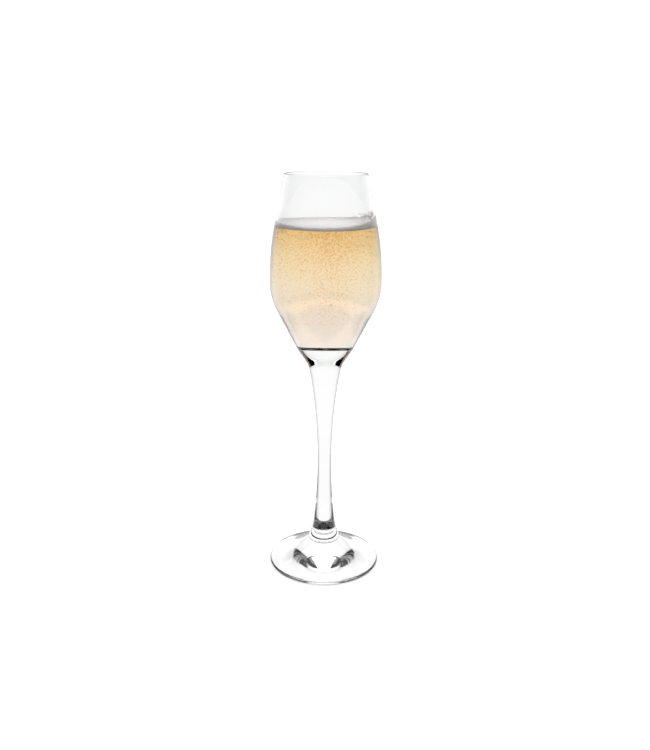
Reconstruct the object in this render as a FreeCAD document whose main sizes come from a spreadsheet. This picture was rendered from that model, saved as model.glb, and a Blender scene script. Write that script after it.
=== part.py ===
import FreeCAD, Part
import os
from math import cos, radians, sin, tan
import Sketcher
from FreeCAD import Vector

# A stemmed champagne flute, three quarters full of sparkling wine.
# The frame: +Z up, origin in the middle of the surface that the foot rests on, millimetres.
# Every piece is turned about the Z axis, so it is revolved from half of its section,
# drawn in its body's XZ plane: sketch x is the radius, sketch y the height.

# Driving dimensions: alias, value, what it is. Angles are in degrees from vertical.
SIZES = [
    ("total_height", 225.0, "resting face to rim"),
    ("mouth_radius", 22.5, "outside of the rim"),
    ("widest_radius", 30.5, "outside of the bowl at its widest"),
    ("widest_height", 167.7, "height of the widest ring"),
    ("wall_angle", 10.8, "lean of the straight upper wall"),
    ("shoulder_radius", 34.3, "profile radius below the widest ring"),
    ("cone_angle", 27.1, "lean of the lower cone"),
    ("heel_radius", 40.0, "profile radius where the cone runs into the steeper neck"),
    ("neck_angle", 34.0, "lean of that neck, which the top of the stem carries on"),
    ("seam_height", 124.0, "where the bowl is fused to the stem"),
    ("seam_radius", 11.4, "outside of that joint"),
    ("cavity_mouth_radius", 21.35, "inside of the rim"),
    ("cavity_widest_radius", 29.2, "inside of the bowl at its widest"),
    ("cavity_shoulder_radius", 32.1, "the same profile radius, inside"),
    ("cavity_cone_angle", 28.9, "lean of the cone inside: the wall thickens downwards"),
    ("floor_height", 133.5, "inside bottom of the bowl"),
    ("floor_corner_radius", 0.5, "profile radius where the floor meets the cone"),
    ("rim_rounding", 0.5, "fire-polished rounding of both rim edges"),
    ("throat_radius", 16.0, "profile radius of the sweep under the bowl"),
    ("upper_sweep_radius", 311.0, "profile radius of the stem above its waist"),
    ("waist_radius", 3.9, "the stem at its thinnest"),
    ("waist_height", 63.5, "height of the thinnest place"),
    ("lower_sweep_radius", 337.0, "profile radius of the stem below its waist"),
    ("flare_radius", 61.0, "profile radius of the flare at the stem's base"),
    ("stem_base_radius", 6.8, "the stem where it meets the collar"),
    ("stem_base_height", 21.2, "height of that joint"),
    ("collar_lean", 22.0, "lean of the collar's conical side"),
    ("bead_radius", 1.6, "profile radius of the bead round the collar's bottom"),
    ("collar_base_radius", 8.9, "the collar where it meets the foot"),
    ("collar_base_height", 14.0, "height of that joint"),
    ("foot_radius", 32.0, "outside of the foot"),
    ("foot_sweep_radius", 45.0, "profile radius of the foot's hollow upper face"),
    ("foot_edge_radius", 0.95, "rounding of the foot's edge, half its thickness there"),
    ("rest_inner_radius", 28.0, "inside of the flat ring that the foot rests on"),
    ("hollow_height", 1.8, "rise of the hollow under the foot"),
    ("wine_level", 198.0, "surface of the wine"),
    ("foam_level", 200.4, "top of the foam that lies on the wine"),
]

doc = FreeCAD.newDocument("champagne_flute")
sheet = doc.addObject("Spreadsheet::Sheet", "Sizes")
for row, (alias, value, meaning) in enumerate(SIZES, start=1):
    sheet.set(f"A{row}", meaning)
    sheet.set(f"B{row}", str(value))
    sheet.setAlias(f"B{row}", alias)
doc.recompute()


def size(alias):
    return float(sheet.get(alias))


def new_body(label):
    body = doc.addObject("PartDesign::Body", label)
    body.Label = label
    return body


def origin_feature(body, role):
    return next(item for item in body.Origin.OriginFeatures if item.Role == role)


class Outline:
    """A closed half section in the body's XZ plane, whose last edge lies on the Z axis."""

    ENDS = (1, 2)
    CENTRE = 3
    ORIGIN = (-1, 1)
    LEVEL_AXIS = -1
    VERTICAL_AXIS = -2

    def __init__(self, body, name):
        self.sketch = body.newObject("Sketcher::SketchObject", name)
        self.sketch.AttachmentSupport = (origin_feature(body, "XZ_Plane"), [""])
        self.sketch.MapMode = "FlatFace"
        self.edges = {}
        self.smooth = set()

    def line(self, name, start, end, smooth=False):
        """A straight edge; smooth when it runs into the next edge without a corner."""
        self.add(name, Part.LineSegment(Vector(*start, 0), Vector(*end, 0)), smooth)

    def arc(self, name, start, end, radius, bow, smooth=False):
        """A round edge; bow is +1 when it bows away from the axis, -1 towards it."""
        first, last = Vector(*start, 0), Vector(*end, 0)
        across = Vector(last.y - first.y, first.x - last.x, 0).normalize()
        if across.x < 0:
            across = -across
        rise = radius - (radius ** 2 - ((last - first).Length / 2) ** 2) ** 0.5
        middle = (first + last) / 2 + across * (bow * rise)
        self.add(name, Part.Arc(first, middle, last), smooth)

    def add(self, name, edge, smooth):
        self.edges[name] = self.sketch.addGeometry(edge, False)
        if smooth:
            self.smooth.add(name)

    def close(self):
        """Ties each edge to the next one, all the way round, and lays the last on the axis."""
        names = list(self.edges)
        for name, following in zip(names, names[1:] + names[:1]):
            joint = self.sketch.Geometry[self.edges[name]].EndPoint
            mine, other = self.end_near(name, joint), self.end_near(following, joint)
            kind = "Tangent" if name in self.smooth else "Coincident"
            self.tie(kind, *mine, *other)
        axis = names[-1]
        self.tie("Vertical", self.edges[axis])
        self.tie("PointOnObject", self.edges[axis], self.ENDS[0], self.VERTICAL_AXIS)

    def end_near(self, name, place):
        """The edge and the number of its end that lies nearest to the place."""
        edge = self.edges[name]
        return edge, min(self.ENDS, key=lambda end: (self.sketch.getPoint(edge, end) - place).Length)

    def centre(self, name):
        return self.edges[name], self.CENTRE

    def tie(self, *constraint):
        return self.sketch.addConstraint(Sketcher.Constraint(*constraint))

    def level(self, name):
        self.tie("Horizontal", self.edges[name])

    def drive(self, kind, formula, *geometry):
        """Adds a dimension and binds it to a formula of the sheet's cells."""
        start_value = self.measure(kind, geometry)
        index = self.tie(kind, *geometry, start_value)
        self.sketch.setExpression(f"Constraints[{index}]", formula)

    def measure(self, kind, geometry):
        """The dimension as drawn, which the bound formula then replaces."""
        if kind == "Radius":
            return self.sketch.Geometry[geometry[0]].Radius
        if kind == "Angle":
            drawn = self.sketch.Geometry[geometry[0]]
            return (drawn.EndPoint - drawn.StartPoint).getAngle(Vector(1, 0, 0))
        first = self.sketch.getPoint(*geometry[:2])
        second = self.sketch.getPoint(*geometry[2:])
        return second.x - first.x if kind == "DistanceX" else second.y - first.y

    def drive_radius(self, name, formula):
        self.drive("Radius", formula, self.edges[name])

    def drive_lean(self, name, formula):
        """The angle of an upward line from the horizontal, in degrees."""
        self.drive("Angle", formula, self.edges[name])

    def drive_end(self, name, drawn_at, radius=None, height=None):
        """The place of an edge's end: its radius, its height, or both."""
        end = self.end_near(name, Vector(*drawn_at, 0))
        if radius:
            self.drive("DistanceX", radius, *self.ORIGIN, *end)
        if height:
            self.drive("DistanceY", height, *self.ORIGIN, *end)

    def drive_centre_height(self, name, height):
        self.drive("DistanceY", height, *self.ORIGIN, *self.centre(name))

    def revolve(self, body, feature="PartDesign::Revolution"):
        """Turns the outline about the Z axis, adding to the body or, as a Groove, cutting."""
        turned = body.newObject(feature, self.sketch.Name.replace("outline", "turned"))
        turned.Profile = self.sketch
        turned.ReferenceAxis = (self.sketch, ["V_Axis"])
        turned.Angle = 360.0
        body.Tip = turned
        return turned


def bowl_outline(body, name, bottom, prefix=""):
    """The bowl's section from its bottom to the rim: the outside, or the cavity by its prefix.

    From the bottom up: a flat floor, a straight cone, the round shoulder, the long belly curve
    and the straight wall. Between floor and cone the cavity has a small rounded corner, and the
    outside has the steeper neck and the round heel that joins it to the cone.
    """
    mouth, widest = prefix + "mouth_radius", prefix + "widest_radius"
    shoulder, cone = prefix + "shoulder_radius", prefix + "cone_angle"
    low, high, middle = size(bottom), size("total_height"), size("widest_height")
    lean, spread = radians(size("wall_angle")), radians(size(cone))

    widest_place = (size(widest), middle)
    shoulder_low = (size(widest) - size(shoulder) * (1 - cos(spread)),
                    middle - size(shoulder) * sin(spread))
    cone_reach = shoulder_low[0] - (shoulder_low[1] - low) * tan(spread)
    belly = ((high - middle) * tan(lean) - size(widest) + size(mouth)) / (1 / cos(lean) - 1)
    belly_top = (size(widest) - belly * (1 - cos(lean)), middle + belly * sin(lean))

    outline = Outline(body, name)
    if prefix:
        setback = size("floor_corner_radius") * tan((radians(90) - spread) / 2)
        floor_end = (cone_reach - setback, low)
        cone_start = (cone_reach + setback * sin(spread), low + setback * cos(spread))
        outline.line("floor", (0, low), floor_end, smooth=True)
        outline.arc("corner", floor_end, cone_start, size("floor_corner_radius"), bow=1, smooth=True)
    else:
        steep = radians(size("neck_angle"))
        floor_end = (size("seam_radius"), low)
        rise = (cone_reach - floor_end[0]) / (tan(steep) - tan(spread))
        setback = size("heel_radius") * tan((steep - spread) / 2)
        meet = (floor_end[0] + rise * tan(steep), low + rise)
        neck_end = (meet[0] - setback * sin(steep), meet[1] - setback * cos(steep))
        cone_start = (meet[0] + setback * sin(spread), meet[1] + setback * cos(spread))
        outline.line("floor", (0, low), floor_end)
        outline.line("neck", floor_end, neck_end, smooth=True)
        outline.arc("heel", neck_end, cone_start, size("heel_radius"), bow=1, smooth=True)
    outline.line("cone", cone_start, shoulder_low, smooth=True)
    outline.arc("shoulder", shoulder_low, widest_place, size(shoulder), bow=1, smooth=True)
    outline.arc("belly", widest_place, belly_top, belly, bow=1, smooth=True)
    outline.line("wall", belly_top, (size(mouth), high))
    outline.line("mouth", (size(mouth), high), (0, high))
    outline.line("axis", (0, high), (0, low))
    outline.close()

    outline.level("floor")
    outline.level("mouth")
    outline.drive_end("floor", (0, low), height=f"Sizes.{bottom}")
    outline.drive_end("wall", (size(mouth), high), f"Sizes.{mouth}", "Sizes.total_height")
    outline.drive_lean("wall", "90 + Sizes.wall_angle")
    outline.drive_lean("cone", f"90 - Sizes.{cone}")
    outline.drive_radius("shoulder", f"Sizes.{shoulder}")
    outline.drive_centre_height("shoulder", "Sizes.widest_height")
    outline.drive_end("shoulder", widest_place, radius=f"Sizes.{widest}")
    outline.tie("Horizontal", *outline.centre("shoulder"), *outline.centre("belly"))
    if prefix:
        outline.drive_radius("corner", "Sizes.floor_corner_radius")
    else:
        outline.drive_end("floor", floor_end, radius="Sizes.seam_radius")
        outline.drive_lean("neck", "90 - Sizes.neck_angle")
        outline.drive_radius("heel", "Sizes.heel_radius")
    return outline


def make_bowl():
    """A blown shell: the outside turned solid, the cavity turned out of it, the rim rounded."""
    body = new_body("bowl")
    bowl_outline(body, "bowl_outline", "seam_height").revolve(body)
    doc.recompute()
    cavity = bowl_outline(body, "cavity_outline", "floor_height", prefix="cavity_")
    shell = cavity.revolve(body, "PartDesign::Groove")
    doc.recompute()
    top_edges = [f"Edge{number}" for number, edge in enumerate(shell.Shape.Edges, start=1)
                 if edge.BoundBox.ZMin > size("total_height") - size("rim_rounding")]
    rim = body.newObject("PartDesign::Fillet", "rim")
    rim.Base = (shell, top_edges)
    rim.setExpression("Radius", "Sizes.rim_rounding")
    body.Tip = rim
    return body


def make_stem():
    """A solid rod: it carries the bowl's neck on, sweeps in to a waist and flares out again."""
    seam = (size("seam_radius"), size("seam_height"))
    waist = (size("waist_radius"), size("waist_height"))
    base = (size("stem_base_radius"), size("stem_base_height"))

    # Drawn near their true places: the smooth joints then settle these three points.
    neck_end = (seam[0] - tan(radians(size("neck_angle"))), seam[1] - 1)
    throat_end = (waist[0] + 4.4, waist[1] + 53)
    flare_start = (waist[0] + 2, waist[1] - 36)

    body = new_body("stem")
    outline = Outline(body, "stem_outline")
    outline.line("base", (0, base[1]), base)
    outline.arc("flare", base, flare_start, size("flare_radius"), bow=-1, smooth=True)
    outline.arc("lower", flare_start, waist, size("lower_sweep_radius"), bow=-1, smooth=True)
    outline.arc("upper", waist, throat_end, size("upper_sweep_radius"), bow=-1, smooth=True)
    outline.arc("throat", throat_end, neck_end, size("throat_radius"), bow=-1, smooth=True)
    outline.line("neck", neck_end, seam)
    outline.line("seam", seam, (0, seam[1]))
    outline.line("axis", (0, seam[1]), (0, base[1]))
    outline.close()

    outline.level("base")
    outline.level("seam")
    outline.drive_end("base", base, "Sizes.stem_base_radius", "Sizes.stem_base_height")
    outline.drive_radius("flare", "Sizes.flare_radius")
    outline.drive_radius("lower", "Sizes.lower_sweep_radius")
    outline.drive_centre_height("lower", "Sizes.waist_height")
    outline.drive_centre_height("upper", "Sizes.waist_height")
    outline.drive_end("upper", waist, radius="Sizes.waist_radius")
    outline.drive_radius("upper", "Sizes.upper_sweep_radius")
    outline.drive_radius("throat", "Sizes.throat_radius")
    outline.drive_lean("neck", "90 - Sizes.neck_angle")
    outline.drive_end("neck", seam, "Sizes.seam_radius", "Sizes.seam_height")
    outline.revolve(body)
    return body


def make_collar():
    """A short cone that widens downwards and turns in over a bead to meet the foot."""
    top = (size("stem_base_radius"), size("stem_base_height"))
    base = (size("collar_base_radius"), size("collar_base_height"))

    # Drawn near its true place: the smooth joint then settles it.
    drop = 0.8 * (top[1] - base[1])
    cone_low = (top[0] + drop * tan(radians(size("collar_lean"))), top[1] - drop)

    body = new_body("collar")
    outline = Outline(body, "collar_outline")
    outline.line("base", (0, base[1]), base)
    outline.arc("bead", base, cone_low, size("bead_radius"), bow=1, smooth=True)
    outline.line("cone", cone_low, top)
    outline.line("top", top, (0, top[1]))
    outline.line("axis", (0, top[1]), (0, base[1]))
    outline.close()

    outline.level("base")
    outline.level("top")
    outline.drive_end("base", base, "Sizes.collar_base_radius", "Sizes.collar_base_height")
    outline.drive_end("cone", top, "Sizes.stem_base_radius", "Sizes.stem_base_height")
    outline.drive_lean("cone", "90 + Sizes.collar_lean")
    outline.drive_radius("bead", "Sizes.bead_radius")
    outline.revolve(body)
    return body


def make_foot():
    """A pressed disc: hollow-swept on top, rounded at the edge, resting on a flat ring."""
    top = (size("collar_base_radius"), size("collar_base_height"))
    edge, hollow = size("foot_edge_radius"), size("hollow_height")
    rest_outer = (size("foot_radius") - edge, 0)
    rest_inner = (size("rest_inner_radius"), 0)
    hollow_radius = (rest_inner[0] ** 2 + hollow ** 2) / (2 * hollow)
    sweep_end = (rest_outer[0], 2 * edge)

    body = new_body("foot")
    outline = Outline(body, "foot_outline")
    outline.arc("hollow", (0, hollow), rest_inner, hollow_radius, bow=1)
    outline.line("rest", rest_inner, rest_outer, smooth=True)
    outline.arc("edge", rest_outer, sweep_end, edge * 1.01, bow=1, smooth=True)
    outline.arc("sweep", sweep_end, top, size("foot_sweep_radius"), bow=-1)
    outline.line("top", top, (0, top[1]))
    outline.line("axis", (0, top[1]), (0, hollow))
    outline.close()

    outline.level("rest")
    outline.level("top")
    outline.tie("PointOnObject", outline.edges["rest"], outline.ENDS[0], outline.LEVEL_AXIS)
    outline.tie("PointOnObject", *outline.centre("hollow"), outline.VERTICAL_AXIS)
    outline.drive_end("axis", (0, hollow), height="Sizes.hollow_height")
    outline.drive_end("rest", rest_inner, radius="Sizes.rest_inner_radius")
    outline.drive_end("rest", rest_outer, radius="Sizes.foot_radius - Sizes.foot_edge_radius")
    outline.drive_radius("edge", "Sizes.foot_edge_radius")
    outline.drive_radius("sweep", "Sizes.foot_sweep_radius")
    outline.drive_end("top", top, "Sizes.collar_base_radius", "Sizes.collar_base_height")
    outline.revolve(body)
    return body


def remove_layer(body, name, low, high):
    """Turns away everything in the body between two levels, which are aliases of the sheet."""
    reach = size("widest_radius")
    outline = Outline(body, name)
    outline.line("below", (0, size(low)), (reach, size(low)))
    outline.line("side", (reach, size(low)), (reach, size(high)))
    outline.line("above", (reach, size(high)), (0, size(high)))
    outline.line("axis", (0, size(high)), (0, size(low)))
    outline.close()

    outline.level("below")
    outline.level("above")
    outline.tie("Vertical", outline.edges["side"])
    outline.drive_end("below", (reach, size(low)), "Sizes.widest_radius", f"Sizes.{low}")
    outline.drive_end("side", (reach, size(high)), height=f"Sizes.{high}")
    outline.revolve(body, "PartDesign::Groove")


def make_wine():
    """The drink: the cavity of the bowl, filled up to the wine's level."""
    body = new_body("wine")
    bowl_outline(body, "wine_outline", "floor_height", prefix="cavity_").revolve(body)
    remove_layer(body, "air_outline", "wine_level", "total_height")
    return body


def make_foam():
    """The layer of foam: the cavity between the wine's level and the foam's."""
    body = new_body("foam")
    bowl_outline(body, "foam_outline", "floor_height", prefix="cavity_").revolve(body)
    remove_layer(body, "drink_outline", "floor_height", "wine_level")
    remove_layer(body, "headspace_outline", "foam_level", "total_height")
    return body


def check_model(bodies):
    """Stops before anything is written if an object failed or a piece is not one good solid."""
    failed = [item.Name for item in doc.Objects if {"Invalid", "Error"} & set(item.State)]
    loose = [item.Name for item in doc.findObjects("Sketcher::SketchObject")
             if not item.FullyConstrained]
    bad = [body.Label for body in bodies
           if body.Shape.isNull() or not body.Shape.isValid() or len(body.Shape.Solids) != 1]
    if failed or loose or bad:
        raise RuntimeError(f"failed: {failed}, not fully constrained: {loose}, bad shapes: {bad}")


def write_pieces(bodies):
    os.makedirs("parts", exist_ok=True)
    for body in bodies:
        body.Shape.exportStep(f"parts/{body.Label}.step")
        print(f"{body.Label}: {body.Shape.Volume / 1000:.2f} cm3")


pieces = [make_bowl(), make_stem(), make_collar(), make_foot(), make_wine(), make_foam()]
for piece in pieces:
    piece.Placement = FreeCAD.Placement()
doc.recompute()
check_model(pieces)
write_pieces(pieces)
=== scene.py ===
import bpy
import bmesh
import math
import random
from mathutils import Matrix, Vector, noise


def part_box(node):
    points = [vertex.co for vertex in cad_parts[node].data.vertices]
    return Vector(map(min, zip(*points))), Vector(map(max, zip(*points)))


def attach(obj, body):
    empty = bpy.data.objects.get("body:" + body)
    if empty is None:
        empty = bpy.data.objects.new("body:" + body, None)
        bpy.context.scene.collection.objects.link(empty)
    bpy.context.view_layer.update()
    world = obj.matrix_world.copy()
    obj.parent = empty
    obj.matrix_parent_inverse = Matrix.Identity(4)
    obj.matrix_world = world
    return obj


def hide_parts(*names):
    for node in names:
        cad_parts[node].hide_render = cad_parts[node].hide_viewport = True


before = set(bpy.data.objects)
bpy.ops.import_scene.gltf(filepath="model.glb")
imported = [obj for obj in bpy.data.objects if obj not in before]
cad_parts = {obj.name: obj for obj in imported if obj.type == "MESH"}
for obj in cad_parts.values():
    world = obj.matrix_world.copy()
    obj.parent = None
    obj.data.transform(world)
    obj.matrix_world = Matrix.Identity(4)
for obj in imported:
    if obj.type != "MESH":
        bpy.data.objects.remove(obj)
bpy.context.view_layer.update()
random.seed(20)

MM = 0.001
TURNS = 256  # facets round the axis of a turned piece
OVERLAP = 0.05 * MM  # the wine reaches this far into the glass, so no film of air shows
GLASS_IOR = 1.5
GLASS_TINT = (0.965, 0.967, 0.967, 1)
WINE_IOR = 1.34

# Where each piece begins and ends comes from the CAD boxes.
FOOT_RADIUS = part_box("foot")[1].x
FOOT_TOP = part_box("foot")[1].z
STEM_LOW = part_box("stem")[0].z
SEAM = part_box("bowl")[0].z
SEAM_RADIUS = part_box("stem")[1].x
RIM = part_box("bowl")[1].z
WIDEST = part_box("bowl")[1].x
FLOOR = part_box("wine")[0].z
CAVITY_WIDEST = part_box("wine")[1].x
WINE_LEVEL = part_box("wine")[1].z
FOAM_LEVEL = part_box("foam")[1].z

# The sections between those ends, as the CAD model has them.
WIDEST_HEIGHT = 167.7 * MM
MOUTH_RADIUS = 22.5 * MM
CAVITY_MOUTH = 21.35 * MM
RIM_ROUNDING = 0.5 * MM
WALL_LEAN = math.radians(10.8)
CONE_LEAN = math.radians(27.1)
HEEL = (15.41 * MM, 129.94 * MM)  # where the lines of the cone and the steeper neck meet
HEEL_SETBACK = 2.41 * MM
CAVITY_CONE_LEAN = math.radians(28.9)
CAVITY_SHOULDER = 32.1 * MM
FLOOR_CORNER = 0.5 * MM
WAIST = 3.9 * MM
STEM_BASE = 6.8 * MM
COLLAR_BASE = 8.9 * MM
FOOT_SWEEP = 45.0 * MM
FOOT_SWEEP_END = (31.25 * MM, 1.88 * MM)
FOOT_EDGE = 0.95 * MM
REST_INNER = 28.0 * MM
HOLLOW = 1.8 * MM

# The drink.
BANK_RIGHT = 4.6 * MM  # how far the foam climbs the wall
BANK_LEFT = 1.6 * MM
BANK_SPREAD = 0.75
FROTH = 0.35 * MM
STREAMS = 30
HAZE = 2300  # bubbles under the foam
RING_BUBBLES = 150
HEAP_BUBBLES = 120
CLUSTER_BUBBLES = 22
FOAM_DEPTH = 4 * MM  # how far light travels in the foam

# Tint of the wine by its level, 0 at the floor and 1 at the surface; the darkest, brownest stop at the
# surface is partly painted shade under the foam.
WINE_TINTS_AND_FOAM_SHADE = ((0.15, (1, 1, 1)), (0.40, (1, 1, 0.97)), (0.55, (1, 0.97, 0.83)),
              (0.75, (1, 0.92, 0.65)), (0.90, (1, 0.83, 0.50)), (1.0, (0.92, 0.72, 0.36)))


def rounded(corners, step=0.6 * MM, turn_step=math.radians(3)):
    """A path through (radius, height, setback) corners.

    Each corner is rounded by an arc that starts and ends the setback away from it.
    Straight stretches are divided too, so that the facets stay even.
    """
    points = [Vector((r, z)) for r, z, _ in corners]
    path = [points[0]]
    for i in range(1, len(corners)):
        here, setback = points[i], corners[i][2]
        into = (here - points[i - 1]).normalized()
        arc_start = here - into * setback
        start = path[-1].copy()
        count = max(1, math.ceil((arc_start - start).length / step))
        path += [start.lerp(arc_start, k / count) for k in range(1, count + 1)
                 if (arc_start - start).length > 1e-7]
        if setback == 0:
            continue
        out = (points[i + 1] - here).normalized()
        turn = math.atan2(into.x * out.y - into.y * out.x, into.dot(out))
        radius = setback / math.tan(abs(turn) / 2)
        side = math.copysign(1, turn)
        centre = arc_start + Vector((-into.y, into.x)) * side * radius
        count = max(2, math.ceil(abs(turn) / turn_step), math.ceil(radius * abs(turn) / step))
        for k in range(1, count + 1):
            spoke = arc_start - centre
            spoke.rotate(Matrix.Rotation(turn * k / count, 2))
            path.append(centre + spoke)
    return path


def bowed(start, end, radius, bow, step=0.5 * MM):
    """Arc from start to end, without its first point; bow is +1 away from the axis, -1 towards it."""
    start, end = Vector(start), Vector(end)
    half = (end - start) / 2
    across = Vector((half.y, -half.x)).normalized()
    if across.x < 0:
        across.negate()
    centre = start + half - across * bow * math.sqrt(radius ** 2 - half.length_squared)
    first, last = start - centre, end - centre
    turn = math.atan2(first.x * last.y - first.y * last.x, first.dot(last))
    count = math.ceil(radius * abs(turn) / step)
    path = []
    for k in range(1, count + 1):
        spoke = first.copy()
        spoke.rotate(Matrix.Rotation(turn * k / count, 2))
        path.append(centre + spoke)
    return path


def lathe(name, path, fused=()):
    """A closed mesh from an open path that starts and ends on the Z axis, turned about it.

    fused holds heights: the flat faces there are where this glass runs on into the next piece.
    """
    bm = bmesh.new()
    spokes = [(math.cos(a), math.sin(a)) for a in (math.tau * k / TURNS for k in range(TURNS))]
    rings = [[bm.verts.new((p.x * c, p.x * s, p.y)) for c, s in (spokes if p.x > 0 else [(1, 0)])]
             for p in path]
    for low, high in zip(rings, rings[1:]):
        for k in range(TURNS):
            after = (k + 1) % TURNS
            if len(low) == 1:
                face = bm.faces.new((low[0], high[after], high[k]))
            elif len(high) == 1:
                face = bm.faces.new((low[k], low[after], high[0]))
            else:
                face = bm.faces.new((low[k], low[after], high[after], high[k]))
            level = low[0].co.z
            if abs(high[0].co.z - level) < 1e-7 and any(abs(level - f) < 1e-7 for f in fused):
                face.material_index = 1
    bmesh.ops.recalc_face_normals(bm, faces=bm.faces)
    return finish_mesh(name, bm)


def finish_mesh(name, bm, sharp=math.radians(35)):
    mesh = bpy.data.meshes.new(name)
    bm.to_mesh(mesh)
    bm.free()
    mesh.shade_smooth()
    mesh.set_sharp_from_angle(angle=sharp)
    piece = bpy.data.objects.new(name, mesh)
    bpy.context.scene.collection.objects.link(piece)
    return piece


# ---- outlines: (radius, height, setback of the rounding) ----

def bowl_outside():
    cone_corner = HEEL[1] + (WIDEST - HEEL[0]) / math.tan(CONE_LEAN)
    wall_corner = RIM - (WIDEST - MOUTH_RADIUS) / math.tan(WALL_LEAN)
    return [(SEAM_RADIUS, SEAM, 0),
            (*HEEL, HEEL_SETBACK),
            (WIDEST, cone_corner, WIDEST_HEIGHT - cone_corner),
            (WIDEST, wall_corner, wall_corner - WIDEST_HEIGHT),
            (MOUTH_RADIUS, RIM, RIM_ROUNDING)]


def cavity(rim_rounding=0):
    """Inside of the bowl, from the middle of its floor up to the rim."""
    wall_corner = RIM - (CAVITY_WIDEST - CAVITY_MOUTH) / math.tan(WALL_LEAN)
    cone_corner = WIDEST_HEIGHT - CAVITY_SHOULDER * math.tan(CAVITY_CONE_LEAN / 2)
    floor_corner = CAVITY_WIDEST - (cone_corner - FLOOR) * math.tan(CAVITY_CONE_LEAN)
    return [(0, FLOOR, 0),
            (floor_corner, FLOOR, FLOOR_CORNER * math.tan((math.pi / 2 - CAVITY_CONE_LEAN) / 2)),
            (CAVITY_WIDEST, cone_corner, WIDEST_HEIGHT - cone_corner),
            (CAVITY_WIDEST, wall_corner, wall_corner - WIDEST_HEIGHT),
            (CAVITY_MOUTH, RIM, rim_rounding)]


def stem_outside():
    return [(STEM_BASE, STEM_LOW, 0),
            (6.20 * MM, 24.09 * MM, 2.95 * MM),
            (WAIST, 45.20 * MM, 18.30 * MM),
            (WAIST, 90.64 * MM, 27.14 * MM),
            (9.19 * MM, 120.73 * MM, 3.41 * MM),
            (SEAM_RADIUS, SEAM, 0)]


CAVITY_PATH = rounded(cavity())


def glass(piece, node):
    piece.data.materials.append(GLASS)
    piece.data.materials.append(FUSED)
    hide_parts(node)
    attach(piece, "root")
    return piece


def make_bowl():
    path = rounded([(0, SEAM, 0)] + bowl_outside() + cavity(RIM_ROUNDING)[::-1])
    return glass(lathe("bowl_glass", path, [SEAM]), "bowl")


def make_stem():
    path = [Vector((0, STEM_LOW))] + rounded(stem_outside()) + [Vector((0, SEAM))]
    return glass(lathe("stem_glass", path, [STEM_LOW, SEAM]), "stem")


def collar_outside():
    return [(COLLAR_BASE, FOOT_TOP, 0),
            (9.42 * MM, 14.72 * MM, 0.88 * MM),
            (STEM_BASE, STEM_LOW, 0)]


def make_collar():
    path = [Vector((0, FOOT_TOP))] + rounded(collar_outside(), 0.3 * MM) + [Vector((0, STEM_LOW))]
    return glass(lathe("collar_glass", path, [FOOT_TOP, STEM_LOW]), "collar")


def make_foot():
    edge_low = (FOOT_RADIUS - FOOT_EDGE, 0.0)
    hollow_radius = (REST_INNER ** 2 + HOLLOW ** 2) / (2 * HOLLOW)
    path = [Vector((0, HOLLOW))]
    path += bowed(path[0], (REST_INNER, 0), hollow_radius, 1)
    path.append(Vector(edge_low))
    path += bowed(edge_low, (FOOT_RADIUS, FOOT_EDGE), FOOT_EDGE, 1, 0.15 * MM)
    path += bowed((FOOT_RADIUS, FOOT_EDGE), FOOT_SWEEP_END, FOOT_EDGE, 1, 0.15 * MM)
    path += bowed(FOOT_SWEEP_END, (COLLAR_BASE, FOOT_TOP), FOOT_SWEEP, -1)
    path.append(Vector((0, FOOT_TOP)))
    return glass(lathe("foot_glass", path, [FOOT_TOP]), "foot")


def drink(piece, material, node):
    piece.data.materials.append(material)
    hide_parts(node)
    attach(piece, "root")
    return piece


def make_wine():
    side = [p + Vector((OVERLAP if p.x > 0 else 0, 0)) for p in CAVITY_PATH if p.y < WINE_LEVEL]
    side[0].y -= OVERLAP
    side.append(Vector((inner_radius(WINE_LEVEL) + OVERLAP, WINE_LEVEL)))
    side.append(Vector((0, WINE_LEVEL)))
    return drink(lathe("wine_body", side), WINE, "wine")


def inner_radius(height):
    """Radius of the cavity at a height above its floor corner."""
    above = next(k for k, p in enumerate(CAVITY_PATH) if p.y >= height)
    low, high = CAVITY_PATH[above - 1], CAVITY_PATH[above]
    return low.x + (high.x - low.x) * (height - low.y) / (high.y - low.y)


def foam_height(angle, share):
    """Top of the foam at an angle and a share of the radius: a bank on the right, less on the left."""
    near_wall = max(0, (share - 0.75) / 0.25) ** 2
    bank = BANK_RIGHT * math.exp(-(angle / BANK_SPREAD) ** 2)
    bank += BANK_LEFT * math.exp(-((math.pi - abs(angle)) / BANK_SPREAD) ** 2)
    spot = Vector((share * math.cos(angle), share * math.sin(angle), 0)) * 27
    froth = sum(0.5 - noise.voronoi(spot * scale)[0][0] for scale in (0.5, 1.1))
    return FOAM_LEVEL - 1.0 * MM + bank * near_wall + froth * FROTH


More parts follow.
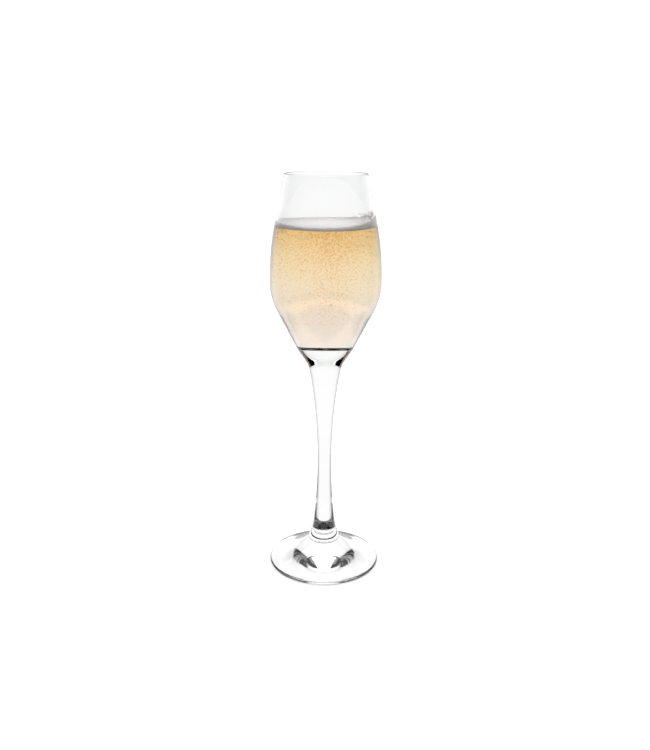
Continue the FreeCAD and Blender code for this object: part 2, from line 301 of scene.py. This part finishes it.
def make_foam():
    rounds, turns = 70, 2 * TURNS
    bm = bmesh.new()
    angles = [math.tau * k / turns - math.pi for k in range(turns)]
    bottom = WINE_LEVEL - OVERLAP
    wall = inner_radius(bottom) + OVERLAP
    low = [bm.verts.new((wall * math.cos(a), wall * math.sin(a), bottom)) for a in angles]
    rings = [low]
    for ring in range(rounds, 0, -1):
        share = ring / rounds
        heights = [foam_height(a, share) for a in angles]
        radii = [share * (inner_radius(z) + OVERLAP) for z in heights]
        rings.append([bm.verts.new((r * math.cos(a), r * math.sin(a), z))
                      for a, r, z in zip(angles, radii, heights)])
    for outer, inner in zip(rings, rings[1:]):
        for k in range(turns):
            after = (k + 1) % turns
            bm.faces.new((outer[k], outer[after], inner[after], inner[k]))
    # The bottom cap takes the second material, painted shade on the foam's underside.
    for ring, height, underside_shade in ((low, bottom, 1), (rings[-1], foam_height(0, 0), 0)):
        middle = bm.verts.new((0, 0, height))
        for k in range(turns):
            bm.faces.new((ring[k], ring[(k + 1) % turns], middle)).material_index = underside_shade
    bmesh.ops.recalc_face_normals(bm, faces=bm.faces)
    foam = drink(finish_mesh("foam_layer", bm), FOAM, "foam")
    # Second material: the foam's underside in painted shade.
    foam.data.materials.append(FOAM_UNDERSIDE_SHADE)
    return foam


def balls(name, bubbles, detail):
    """One mesh of closed round bubbles, each given as (centre, radius)."""
    pattern = bmesh.new()
    bmesh.ops.create_icosphere(pattern, subdivisions=detail, radius=1)
    corners = [v.co.copy() for v in pattern.verts]
    sides = [[v.index for v in f.verts] for f in pattern.faces]
    pattern.free()
    bm = bmesh.new()
    for centre, radius in bubbles:
        verts = [bm.verts.new(centre + corner * radius) for corner in corners]
        for side in sides:
            bm.faces.new([verts[k] for k in side])
    return finish_mesh(name, bm, math.pi)


def at(radius, angle, height):
    return Vector((radius * math.cos(angle), radius * math.sin(angle), height))


def bubble_piece(name, bubbles):
    """The bubbles that are clear of the wall, as one piece of the wine."""
    clear = [(centre, radius) for centre, radius in bubbles
             if math.hypot(centre.x, centre.y) < inner_radius(centre.z) - 0.8 * MM]
    drink(balls(name, clear, 2), BUBBLE, "wine")


def stream_bubbles():
    """Streams that rise from the floor and spread."""
    bubbles = []
    for _ in range(STREAMS):
        root = at(random.uniform(0, 9) * MM, random.uniform(0, math.tau), 0)
        lean = Vector((random.gauss(0, 0.12), random.gauss(0, 0.12), 0))
        height = FLOOR + random.uniform(8, 30) * MM
        while height < WINE_LEVEL - 2 * MM:
            risen = height - FLOOR
            wander = Vector((random.gauss(0, 1), random.gauss(0, 1), 0)) * (0.2 * MM + risen * 0.03)
            bubbles.append((root + lean * risen + wander + Vector((0, 0, height)),
                            random.uniform(0.10, 0.16) * MM + risen * 0.0018))
            height += random.uniform(1.0, 3.2) * MM
    bubble_piece("wine_streams", bubbles)


def haze_bubbles():
    """Fine bubbles under the foam, thickest at the top and in the middle."""
    bubbles = []
    for _ in range(HAZE):
        depth = min(random.expovariate(1 / (13 * MM)), 48 * MM)
        height = WINE_LEVEL - 1 * MM - depth
        spread = random.random() ** 0.75 * inner_radius(height)
        bubbles.append((at(spread, random.uniform(0, math.tau), height), random.uniform(0.11, 0.23) * MM))
    bubble_piece("wine_haze", bubbles)


def foam_bubbles():
    """Thin-skinned bubbles: a ring of them round the wall, a heap on the right, a few on the left."""
    bubbles = []

    def add(angle, height, radius):
        bubbles.append((at(inner_radius(height) - radius, angle, height), radius))

    for _ in range(RING_BUBBLES):
        angle = random.uniform(-math.pi, math.pi)
        add(angle, foam_height(angle, 1) + random.uniform(-0.6, 0.2) * MM, random.uniform(0.25, 0.6) * MM)
    for _ in range(HEAP_BUBBLES):
        angle = random.gauss(0, BANK_SPREAD * 0.7)
        add(angle, foam_height(angle, 1) + random.uniform(-1.5, 0.9) * MM, random.uniform(0.4, 1.0) * MM)
    for _ in range(CLUSTER_BUBBLES):
        angle = random.gauss(-2.75, 0.12)
        add(angle, WINE_LEVEL + random.uniform(-2.2, 1.0) * MM, random.uniform(0.4, 0.8) * MM)
    return drink(balls("foam_bubbles", bubbles, 3), FILM, "foam")


# ---- materials ----

def new_material(name):
    material = bpy.data.materials.new(name)
    material.use_nodes = True
    nodes = material.node_tree.nodes
    shader = nodes["Principled BSDF"]
    return material, nodes, material.node_tree.links, shader


def glass_material():
    """Clear soda glass with the faint waves of drawing and fire polishing."""
    material, nodes, links, shader = new_material("clear_glass")
    shader.inputs["Base Color"].default_value = GLASS_TINT
    shader.inputs["Transmission Weight"].default_value = 1
    shader.inputs["IOR"].default_value = GLASS_IOR
    shader.inputs["Roughness"].default_value = 0
    place = nodes.new("ShaderNodeTexCoord").outputs["Object"]
    drawn = nodes.new("ShaderNodeMapping")
    drawn.inputs["Scale"].default_value = (1, 1, 0.25)
    links.new(place, drawn.inputs["Vector"])
    waves = nodes.new("ShaderNodeTexNoise")
    waves.inputs["Scale"].default_value = 160
    waves.inputs["Detail"].default_value = 2
    links.new(drawn.outputs["Vector"], waves.inputs["Vector"])
    bump = nodes.new("ShaderNodeBump")
    bump.inputs["Strength"].default_value = 0.4
    bump.inputs["Distance"].default_value = 0.1 * MM
    links.new(waves.outputs["Fac"], bump.inputs["Height"])
    links.new(bump.outputs["Normal"], shader.inputs["Normal"])
    return material


def fused_material():
    """Joint between two pieces of one glass: nothing bends the light there."""
    material, nodes, links, _ = new_material("fused_joint")
    clear = nodes.new("ShaderNodeBsdfTransparent")
    links.new(clear.outputs[0], nodes["Material Output"].inputs["Surface"])
    return material


def wine_material():
    """Golden at the top and paler towards the bottom: the tint stands for the gas near the surface, and its
    darkest band at the top is partly painted shade under the foam.
    """
    material, nodes, links, shader = new_material("sparkling_wine")
    shader.inputs["Transmission Weight"].default_value = 1
    shader.inputs["Roughness"].default_value = 0
    shader.inputs["IOR"].default_value = WINE_IOR
    place = nodes.new("ShaderNodeTexCoord").outputs["Object"]
    swirl = nodes.new("ShaderNodeTexNoise")
    swirl.inputs["Scale"].default_value = 60
    swirl.inputs["Detail"].default_value = 1
    links.new(place, swirl.inputs["Vector"])
    height = nodes.new("ShaderNodeSeparateXYZ")
    links.new(place, height.inputs[0])
    level = nodes.new("ShaderNodeMapRange")
    level.inputs["From Min"].default_value = FLOOR
    level.inputs["From Max"].default_value = WINE_LEVEL
    links.new(height.outputs["Z"], level.inputs["Value"])
    uneven = nodes.new("ShaderNodeMath")
    uneven.operation = "MULTIPLY_ADD"
    uneven.inputs[1].default_value = 0.16
    links.new(swirl.outputs["Fac"], uneven.inputs[0])
    links.new(level.outputs["Result"], uneven.inputs[2])
    ramp = nodes.new("ShaderNodeValToRGB")
    # The top stop of this ramp is partly painted shade under the foam.
    set_ramp(ramp, WINE_TINTS_AND_FOAM_SHADE)
    links.new(uneven.outputs["Value"], ramp.inputs["Fac"])
    links.new(ramp.outputs["Color"], shader.inputs["Base Color"])
    volume = nodes.new("ShaderNodeVolumeAbsorption")
    volume.inputs["Color"].default_value = (1.0, 0.55, 0.07, 1)
    volume.inputs["Density"].default_value = 6.5
    links.new(volume.outputs[0], nodes["Material Output"].inputs["Volume"])
    return material


def set_ramp(ramp, stops):
    elements = ramp.color_ramp.elements
    while len(elements) < len(stops):
        elements.new(1)
    for element, (position, colour) in zip(elements, stops):
        element.position = position
        element.color = (*colour, 1)


def foam_material(name, lit, shaded, translucency):
    """Packed bubbles with a fine cell pattern: painted light at a cell's middle and painted shade at its
    edge, between the bubbles.
    """
    material, nodes, links, shader = new_material(name)
    shader.inputs["Roughness"].default_value = 0.6
    shader.inputs["IOR"].default_value = 1.2
    shader.inputs["Subsurface Weight"].default_value = translucency
    shader.inputs["Subsurface Radius"].default_value = (1, 1, 1)
    shader.inputs["Subsurface Scale"].default_value = FOAM_DEPTH
    place = nodes.new("ShaderNodeTexCoord").outputs["Object"]
    cells = nodes.new("ShaderNodeTexVoronoi")
    cells.inputs["Scale"].default_value = 1400
    links.new(place, cells.inputs["Vector"])
    ramp = nodes.new("ShaderNodeValToRGB")
    # Painted light at the middle of each cell, painted shade towards its edge.
    set_ramp(ramp, ((0, lit), (1, shaded)))
    links.new(cells.outputs["Distance"], ramp.inputs["Fac"])
    links.new(ramp.outputs["Color"], shader.inputs["Base Color"])
    bump = nodes.new("ShaderNodeBump")
    bump.invert = True
    bump.inputs["Strength"].default_value = 0.5
    bump.inputs["Distance"].default_value = 0.3 * MM
    links.new(cells.outputs["Distance"], bump.inputs["Height"])
    links.new(bump.outputs["Normal"], shader.inputs["Normal"])
    return material


def bubble_material(name, ior, tint):
    """Gas in the wine, or a thin skin in the air: clear, and seen by what it bends; a tint on it is painted
    colour on the light it bends.
    """
    material, nodes, links, shader = new_material(name)
    shader.inputs["Base Color"].default_value = tint
    shader.inputs["Transmission Weight"].default_value = 1
    shader.inputs["Roughness"].default_value = 0
    shader.inputs["IOR"].default_value = ior
    return material


GLASS = glass_material()
FUSED = fused_material()
WINE = wine_material()
# The foam's two colours: painted light on the cells, painted shade between them.
FOAM = foam_material("wine_foam", (1, 0.92, 0.90), (0.97, 0.85, 0.83), 1)
# The underside of the foam, where it lies on the wine: painted shade, a darker, browner copy of the foam.
FOAM_UNDERSIDE_SHADE = foam_material("foam_underside_painted_shade", (1, 0.62, 0.42), (0.85, 0.48, 0.30), 0)
# The gas bubbles' golden tint is a painted reflection of the wine round them, which makes golden-brown dots.
BUBBLE = bubble_material("wine_bubble", 1 / 1.12, (1, 0.72, 0.38, 1))
FILM = bubble_material("bubble_skin", 1.12, (1, 1, 1, 1))


# ---- studio ----

BACKDROP_LIGHT = 1.1
DARK_SIDE = 0.3  # the side that the camera is on, against the backdrop
OVERHEAD = 1.7  # extra light from above
DARK_TILT = 0.3
DARK_BELOW = -0.50
WHITE_ABOVE = -0.46


def make_floor():
    """A pale floor. The glass pieces look past it, so they show the studio's dark underside."""
    bm = bmesh.new()
    bmesh.ops.create_grid(bm, x_segments=2, y_segments=2, size=6)
    floor = finish_mesh("floor", bm)
    floor.visible_transmission = False
    floor.visible_glossy = False
    material, nodes, links, shader = new_material("floor")
    shader.inputs["Base Color"].default_value = (0.97, 0.97, 0.97, 1)
    shader.inputs["Roughness"].default_value = 0.9
    floor.data.materials.append(material)


def make_world():
    """A white backdrop behind, light above, a dark side in front and darkness underneath."""
    world = bpy.data.worlds.new("studio")
    bpy.context.scene.world = world
    world.use_nodes = True
    nodes, links = world.node_tree.nodes, world.node_tree.links
    direction = nodes.new("ShaderNodeTexCoord").outputs["Generated"]

    def fade(axis, low, high, dark, light):
        along = nodes.new("ShaderNodeVectorMath")
        along.operation = "DOT_PRODUCT"
        along.inputs[1].default_value = axis
        links.new(direction, along.inputs[0])
        step = nodes.new("ShaderNodeMapRange")
        step.interpolation_type = "SMOOTHSTEP"
        for name, value in (("From Min", low), ("From Max", high), ("To Min", dark), ("To Max", light)):
            step.inputs[name].default_value = value
        links.new(along.outputs["Value"], step.inputs["Value"])
        return step.outputs["Result"]

    def combine(operation, one, other):
        node = nodes.new("ShaderNodeMath")
        node.operation = operation
        links.new(one, node.inputs[0])
        links.new(other, node.inputs[1])
        return node.outputs["Value"]

    backdrop = fade((0, 1, 0), 0.3, 0.8, DARK_SIDE, 1)
    behind = fade((0, 1, 0), 0.45, 0.65, 0, 1)
    low = fade((0, 0, 1), 0.25, 0.45, 1, 0)
    open_side = combine("MAXIMUM", behind, low)
    level = combine("ADD", combine("MULTIPLY", backdrop, open_side), fade((0, 0, 1), 0.58, 0.68, 0, OVERHEAD))
    above = fade((0, DARK_TILT, 1), DARK_BELOW, WHITE_ABOVE, 0, 1)
    background = nodes["Background"]
    links.new(combine("MULTIPLY", level, above), background.inputs["Color"])
    background.inputs["Strength"].default_value = BACKDROP_LIGHT


def make_camera():
    data = bpy.data.cameras.new("camera")
    data.sensor_width = 36
    data.lens = 39.35
    data.clip_start = 0.01
    camera = bpy.data.objects.new("camera", data)
    bpy.context.scene.collection.objects.link(camera)
    camera.location = (0, -0.44124, 0.24827)
    camera.rotation_mode = "QUATERNION"
    down = math.radians(16.85)
    look = Vector((0, math.cos(down), -math.sin(down)))
    roll = Matrix.Rotation(math.radians(0.4), 4, "Z")
    camera.rotation_quaternion = (look.to_track_quat("-Z", "Y").to_matrix().to_4x4() @ roll).to_quaternion()
    bpy.context.scene.camera = camera


make_bowl()
make_stem()
make_collar()
make_foot()
make_wine()
stream_bubbles()
haze_bubbles()
make_foam()
foam_bubbles()
make_floor()
make_world()
make_camera()
bpy.context.scene.view_settings.view_transform = "Standard"
bpy.context.scene.cycles.max_bounces = 24
bpy.context.scene.cycles.transmission_bounces = 24
bpy.context.scene.cycles.transparent_max_bounces = 24
